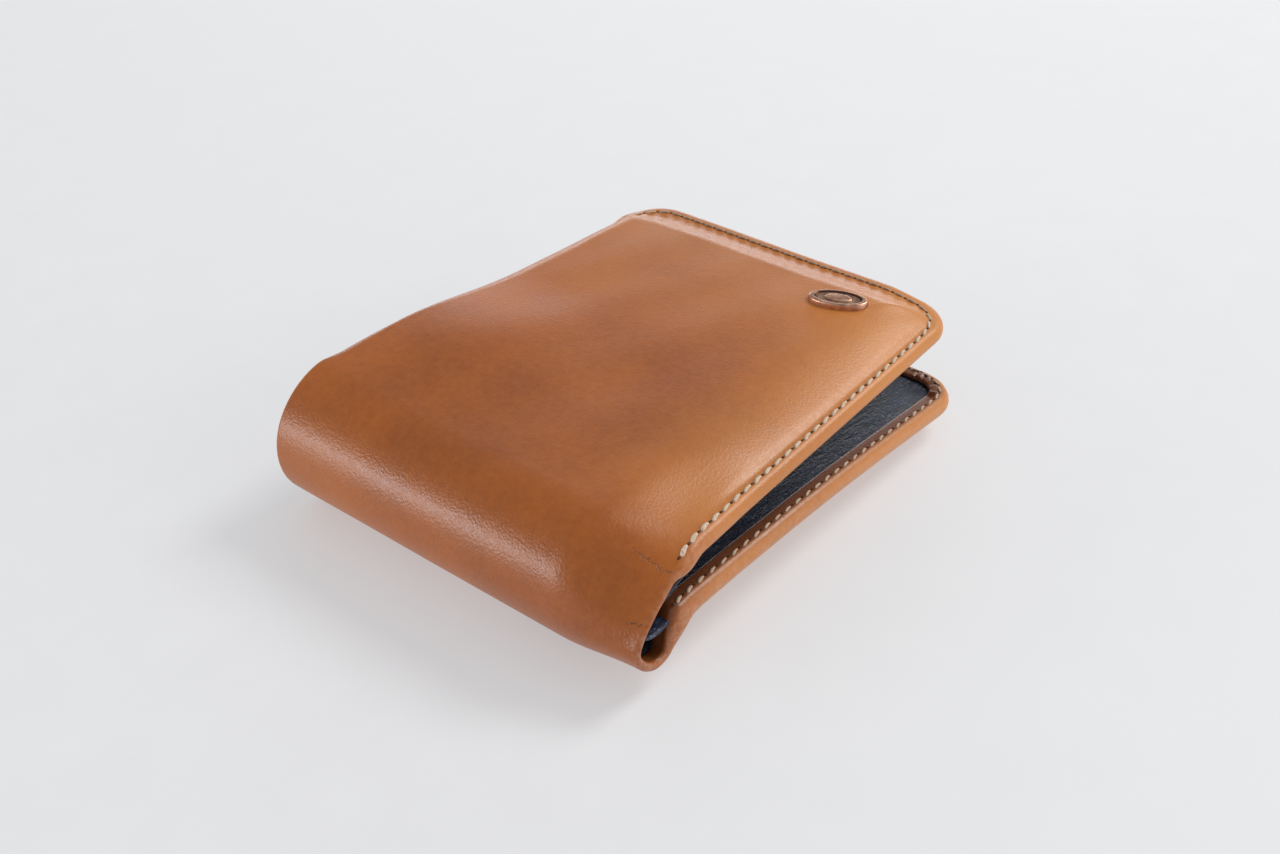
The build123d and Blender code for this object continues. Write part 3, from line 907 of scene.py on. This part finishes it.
def sewn_rows(lower, upper):
    """Cream stitches on both faces of both leaves."""
    for half, side, on_strip, name, node in (
            (upper, 1, False, "upper_seam_stitches", "upper_seam_thread"),
            (upper, 1, True, "upper_seam_stitches_inside", None),
            (lower, -1, True, "lower_seam_stitches", "lower_seam_thread"),
            (lower, -1, False, "lower_seam_stitches_outside", None)):
        path, ups = seam_path(half, side, on_strip)
        fine = on_strip or side < 0
        row = stitch_row(name, path, ups, [cream, hole], width=0.27 if fine else THREAD_R,
                         length=0.62 if fine else 0.76, slant=0.2, rise=0.12 if fine else 0.2, narrow=side > 0)
        x = np.array([v.co[0] for v in row.data.vertices]) / MM
        set_point_value(row, "soiled", 0.75 * smooth((x - 46) / 7) if side > 0 else np.full(len(x), 0.35))
        bend(row, side)
        if node:
            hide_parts(node)


# ---- the lower leaf's inside ----
def low_panel_z(x, y):
    """Upper face of the coin pocket's front."""
    return low_row_z(x, y) - TURNED - 0.05


TEETH_LOW = box_mm("zip_teeth_near")[0]
TEETH_HIGH = box_mm("zip_teeth_far")[1]
ZIP_Y = (TEETH_LOW[1] + TEETH_HIGH[1]) / 2
SLOT_HALF = 2.6
SLOT_X = (TEETH_LOW[0] - 1.8, TEETH_HIGH[0] + 1.8)
SLOT_Y = (ZIP_Y - SLOT_HALF, ZIP_Y + SLOT_HALF)


def coin_panel():
    """Navy leather front of the coin pocket, with the slot for its zip."""
    gx, gy = leaf_stations(LEATHER, SPINE_X + 0.5, SLOT_X, (*SLOT_Y, SLOT_Y[0] - 0.5, SLOT_Y[1] + 0.5))
    waves = np.sin(0.14 * gx + 1) * np.sin(0.2 * gy) * 0.4 - 0.6
    crown = 0.35 * smooth(edge_distance(gx, gy, STRIP) / 6) * waves
    crown *= smooth((SLOT_Y[0] - 2 - gy) / 8)
    lip = 0.18 * np.exp(-((np.abs(gy - ZIP_Y) - SLOT_HALF - 0.5) / 0.5) ** 2)
    lip = lip * ((gx > SLOT_X[0]) & (gx < SLOT_X[1]))
    z = low_panel_z(gx, gy) + crown
    mx = (gx[:-1, :-1] + gx[1:, 1:]) / 2
    my = (gy[:-1, :-1] + gy[1:, 1:]) / 2
    keep = ~((mx > SLOT_X[0]) & (mx < SLOT_X[1]) & (my > SLOT_Y[0]) & (my < SLOT_Y[1]))
    panel = layer("coin_pocket_front_leather", gx, gy, z + lip * 0.4, z - 0.75, navy, keep)
    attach(panel, "back_leaf")
    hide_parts("coin_pocket_front")


def inner_sheet(name, node, inset, x0, z_at, thick, material, body):
    """Thin lining that fills a leaf inside its outline."""
    gx, gy = leaf_stations(inset, x0)
    z = z_at(gx, gy)
    obj = layer(name, gx, gy, z + thick, z, material)
    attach(obj, body)
    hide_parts(node)


def linings():
    """Cloth on both boards, and the cloth bag of the coin pocket."""
    low_in, high_in = box_mm("lower_lining"), box_mm("upper_lining")
    bag_low = box_mm("coin_pocket_bag")[0][2]

    def bag_z(x, y):
        """The bag hangs from the coin pocket's front and lies on the lower lining."""
        hung = (low_panel_z(x, y) - 1.4 - bag_low) * (1 - smooth(edge_distance(x, y, 8.5) / 8))
        return bag_low + 0.15 + hung * smooth((x - SPINE_X) / 4)

    inner_sheet("lower_lining_cloth", "lower_lining", SIDE_Y - low_in[1][1], low_in[0][0],
                lambda x, y: low_in[0][2] + 0.04 + 0.03 * ripple(x, y), 0.25, lining_cloth,
                "back_leaf")
    inner_sheet("coin_pocket_bag_cloth", "coin_pocket_bag", LEATHER + 0.3, SPINE_X + 3, bag_z, 0.3,
                lining_cloth, "back_leaf")
    inner_sheet("upper_lining_cloth", "upper_lining", SIDE_Y - high_in[1][1], high_in[0][0],
                lambda x, y: high_in[0][2] - 0.02 + 0.03 * ripple(x, y), 0.25, lining_cloth,
                "front_leaf")


# ---- the upper leaf's inside ----
def high_panel_z(x, y):
    """Lower face of the card panel, which follows the upper leaf's edge."""
    return high_row_z(x, y) - EDGE + TURNED + 0.1 - far_fall(x, y, 3.0)


def card_panel():
    """Navy leather panel that the card pockets are sewn to."""
    gx, gy = leaf_stations(LEATHER, SPINE_X + 0.5)
    z = high_panel_z(gx, gy)
    obj = layer("card_panel_leather", gx, gy, z + 0.65, z, navy, narrow=True)
    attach(obj, "front_leaf")
    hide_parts("card_panel")


def card_pocket(number):
    """One stepped card pocket: a navy leather sheet with a turned, stitched mouth."""
    node = "card_pocket_%d" % number
    low, high = box_mm(node)
    mouth = high[1] - CARD_MOUTH

    def sag(x, y):
        """How far the sheet hangs between its sewn ends."""
        share = (x - low[0]) / (high[0] - low[0])
        return 0.12 * np.sin(math.pi * share) * smooth((y - low[1]) / (high[1] - low[1]))

    ys = np.unique(np.concatenate([np.linspace(low[1], high[1], 42), [mouth, mouth - 0.15, high[1] - 0.3]]))
    xs = np.unique(np.concatenate([np.linspace(low[0], high[0], 70), [low[0] + 0.3, high[0] - 0.3]]))
    gx, gy = np.meshgrid(xs, ys, indexing="ij")
    soft = 0.18 * (1 - smooth(np.minimum(gx - low[0], high[0] - gx) / 0.6))
    soft = soft + 0.18 * (1 - smooth((high[1] - gy) / 0.6))
    z = low[2] + 0.06 + (high_panel_z(gx, gy) - CARD_PANEL_Z) - sag(gx, gy) - 0.1 * (gy > mouth) + soft
    top = z + (high[2] - low[2] - 0.08) + sag(gx, gy) * 0.5
    obj = layer(node + "_leather", gx, gy, top, z, navy, narrow=True)
    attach(obj, "front_leaf")
    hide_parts(node)
    line = np.linspace(low[0] + 1, high[0] - 1, 90)
    ly = np.full_like(line, mouth - 0.5)
    lz = low[2] + high_panel_z(line, ly) - CARD_PANEL_Z - 0.02 - sag(line, ly)
    navy_row("card_pocket_%d_mouth_stitches" % number, np.stack([line, ly, lz], -1), -1, "front_leaf", 0.14)


def side_rows():
    """Stitches at both ends of the card pockets."""
    low, high = box_mm("card_seam_thread")
    for x, end in ((low[0] + 0.3, "spine"), (high[0] - 0.3, "free")):
        y = np.linspace(low[1], high[1] + 12, 60)
        step = CARD_PANEL_Z - 0.7 * (3 - 1.0 * (y > 7))
        z = step + high_panel_z(x, y) - CARD_PANEL_Z + 0.2
        path = np.stack([np.full_like(y, x), y, z], -1)
        navy_row("card_end_stitches_" + end, path, -1, "front_leaf", 0.16)
    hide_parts("card_seam_thread")


# ---- the fold's lining ----
def spine_lining(side):
    """Navy lining inside the fold, in two halves that meet at its middle."""
    s = np.linspace(0, QUARTER - 0.4, 44) * side
    y = np.concatenate([np.linspace(-SIDE_Y + 2.4, -20, 30), np.linspace(-19, SIDE_Y - 2, 62)])
    gs, gy = np.meshgrid(s, y, indexing="ij")
    p = cover_point(gs, gy, np.full_like(gs, SPINE_X))
    n = inward_normals(p)
    wave = 0.08 * np.sin(0.5 * gy + gs * 0.2)[..., None]
    top = p + n * (LEATHER + 0.45 + wave)
    bottom = p + n * (LEATHER + 0.12 + wave)
    obj = sheet_mesh("spine_lining_%s" % ("lower" if side < 0 else "upper"), top, bottom, lining_cloth)
    if side < 0:
        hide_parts("spine_lining")
    bend(obj, side)


def inner_fold_lining(side):
    """Navy leather ear at the near end of the fold, buckled inwards between the panels, in two halves."""
    if side < 0:
        xs, zs = [-40.4, -42.4, -46.0, -49.2, -50.5], [11.5, 11.2, 10.5, 11.2, 13.4]
    else:
        xs, zs = [-50.5, -49.4, -46.6, -43.2, -39.5], [13.4, 14.3, 15.8, 17.2, 18.4]
    knots = np.linspace(0, 1, 5)
    t = np.linspace(0, 1, 34)
    x = through(knots, xs, t)
    z = through(knots, zs, t)
    y = np.concatenate([[-41.1, -41.0, -40.8, -40.4], np.linspace(-40, -22, 24)])
    t_fold = np.array([0.25, 0.6, 0.9, 1.0])
    half = np.concatenate([t_fold, np.ones(24)]) * 0.42
    gx = np.repeat(x[:, None], len(y), 1)
    gz = z[:, None] + 0.10 * np.sin(0.4 * y)[None, :]
    gy = np.repeat(y[None, :], len(x), 0)
    across = normalised(np.stack([-np.gradient(z), 0 * x, np.gradient(x)], -1))
    normal = across[:, None, :] * half[None, :, None]
    line = np.stack([gx, gy, gz], -1)
    name = "inner_fold_lining_" + ("lower" if side < 0 else "upper")
    obj = sheet_mesh(name, line + normal, line - normal, navy)
    bend(obj, side)


# ---- the zip ----
def zip_tape(side_name):
    """One woven tape of the zip."""
    node = "zip_tape_" + side_name
    low, high = box_mm(node)
    xs = np.linspace(low[0], high[0], 90)
    ys = np.linspace(low[1], high[1], 9)
    gx, gy = np.meshgrid(xs, ys, indexing="ij")
    wave = 0.05 * np.sin(0.7 * gx + 1.1 * gy)
    top = high[2] - 0.04 + 0.4 * wave - 0.02
    obj = layer(node + "_cloth", gx, gy, top, low[2] + 0.03 + 0.4 * wave, tape)
    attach(obj, "back_leaf")
    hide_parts(node)


def zip_stitches():
    """Navy rows that sew the zip into the coin pocket's front."""
    low, high = box_mm("zip_seam_thread")
    for row_y, name in ((low[1] + 0.3, "near"), (high[1] - 0.3, "far")):
        x = np.linspace(low[0], high[0], 100)
        y = np.full_like(x, row_y)
        path = np.stack([x, y, low_panel_z(x, y) + 0.03], -1)
        navy_row("zip_stitches_" + name, path, 1, "back_leaf", 0.15, 0.26, 0.68, 0.12, False)
    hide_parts("zip_seam_thread")


def cad_materials():
    """Materials for the hard CAD pieces that are shown as they are."""
    for node, material in (("zip_teeth_near", brass), ("zip_teeth_far", brass), ("zip_end_stops", brass),
                           ("zip_slider", brass), ("zip_pull", brass), ("badge_back_plate", steel),
                           ("lower_stiffener", board), ("upper_stiffener", board)):
        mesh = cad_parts[node].data
        mesh.materials.clear()
        mesh.materials.append(material)


# ---- the badge ----
def badge():
    """Plain oval badge with a raised, rounded rim and a sunk field."""
    low, high = box_mm("badge")
    centre = (low + high) / 2
    a, b = BADGE_HALF
    base_z = HEIGHT - 1.6
    top_z = high[2]
    profile = [(0.0, base_z), (0.985, base_z), (1.0, base_z + 0.3), (1.0, top_z - 0.45), (0.985, top_z - 0.2),
               (0.945, top_z - 0.05), (0.90, top_z), (0.83, top_z), (0.80, top_z - 0.06), (0.77, top_z - 0.25),
               (0.755, top_z - 0.3), (0.70, top_z - 0.32), (0.5, top_z - 0.28), (0.47, top_z - 0.27),
               (0.455, top_z - 0.12), (0.43, top_z - 0.05), (0.36, top_z - 0.04), (0.0, top_z + 0.02)]
    count = 72
    verts = []
    for r, z in profile:
        for k in range(count):
            t = 2 * math.pi * k / count
            dx, dy = r * a * math.cos(t), r * b * math.sin(t)
            verts.append((centre[0] + dx * math.cos(BADGE_TURN) - dy * math.sin(BADGE_TURN),
                          centre[1] + dx * math.sin(BADGE_TURN) + dy * math.cos(BADGE_TURN), z))
    obj = make_mesh("badge_oval", verts, ring_faces(len(profile), count), [copper])
    recess = np.zeros(len(profile))
    recess[[0, 1, 8, 9, 10, 13]] = 1.0
    recess[11:13] = 0.35
    set_point_value(obj, "painted_shade_and_patina", np.repeat(recess, count))
    face_outwards(obj.data, 1e-6)
    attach(obj, "front_leaf")
    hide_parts("badge")


# ---- camera, light and floor ----
LENS, SENSOR = 40.9, 36.0
CAMERA_AT = (-0.18372, -0.14772, 0.16757)
CAMERA_TILT, CAMERA_TURN = 56, -51.18
FLOOR_HALF = 3000.0
# name, azimuth, elevation, distance, width, height, brightness, colour
LIGHTS = (("key", -20, 46, 1.8, 0.66, 0.66, 10.5, (1.0, 0.97, 0.93)),
          ("side_window", -72, 20, 2.6, 2.4, 1.1, 1.6, (1.0, 0.97, 0.94)),
          ("back_window", 40, 6, 3.0, 2.6, 0.5, 3.6, (0.92, 0.95, 1.0)),
          ("left_window", 145, 5, 2.0, 0.9, 0.42, 13.0, (0.98, 0.98, 1.0)))


def floor_material():
    """Matt, whitish, faintly uneven table top."""
    n = Nodes("floor")
    mottle = n.noise(60, 3, 0.6)
    base = n.colours(mottle, (0.3, (0.44, 0.455, 0.48)), (0.7, (0.46, 0.475, 0.50)))
    return n.finish(base, n.span(mottle, 0.3, 0.7, 0.6, 0.7), n.bump(n.noise(500, 3), 0.1, 0.1),
                    Emission_Color=(0.97, 0.98, 1.0, 1), Emission_Strength=0.39)


def camera(scene):
    """Camera at the photograph's place."""
    cam = bpy.data.cameras.new("camera")
    cam.lens = LENS
    cam.sensor_width = SENSOR
    cam.clip_start = 0.01
    eye = bpy.data.objects.new("camera", cam)
    eye.location = CAMERA_AT
    eye.rotation_euler = (math.radians(CAMERA_TILT), 0, math.radians(CAMERA_TURN))
    scene.collection.objects.link(eye)
    scene.camera = eye


def sky(scene):
    """Even, slightly warm light from all round."""
    world = bpy.data.worlds.new("studio")
    scene.world = world
    world.use_nodes = True
    background = world.node_tree.nodes["Background"]
    background.inputs["Color"].default_value = (1.0, 0.98, 0.96, 1)
    background.inputs["Strength"].default_value = 0.46


def lamps(scene):
    """Soft rectangular lights that face the purse."""
    for name, turn, tilt, away, width, tall, bright, colour in LIGHTS:
        light = bpy.data.lights.new(name, "AREA")
        light.shape = "RECTANGLE"
        light.size = width
        light.size_y = tall
        light.energy = bright * math.pi * width * tall
        light.color = colour
        lamp = bpy.data.objects.new(name, light)
        turn, tilt = math.radians(turn), math.radians(tilt)
        lamp.location = (away * math.cos(tilt) * math.cos(turn), away * math.cos(tilt) * math.sin(turn),
                         away * math.sin(tilt))
        lamp.rotation_euler = (math.pi / 2 - tilt, 0, turn + math.pi / 2)
        scene.collection.objects.link(lamp)


def camera_and_light():
    """The photograph's view, soft light and a whitish floor."""
    scene = bpy.context.scene
    camera(scene)
    scene.view_settings.view_transform = "Standard"
    sky(scene)
    lamps(scene)
    h = FLOOR_HALF
    corners = [(-h, -h, 0), (h, -h, 0), (h, h, 0), (-h, h, 0)]
    floor = make_mesh("floor", corners, [(0, 1, 2, 3)], [floor_material()])


# ---- everything, in order ----
lower, upper = cover()
sewn_rows(lower, upper)
coin_panel()
linings()
card_panel()
for number in (1, 2, 3):
    card_pocket(number)
side_rows()
for side in (-1, 1):
    spine_lining(side)
for side in (-1, 1):
    inner_fold_lining(side)
zip_tape("near")
zip_tape("far")
zip_stitches()
cad_materials()
badge()
camera_and_light()
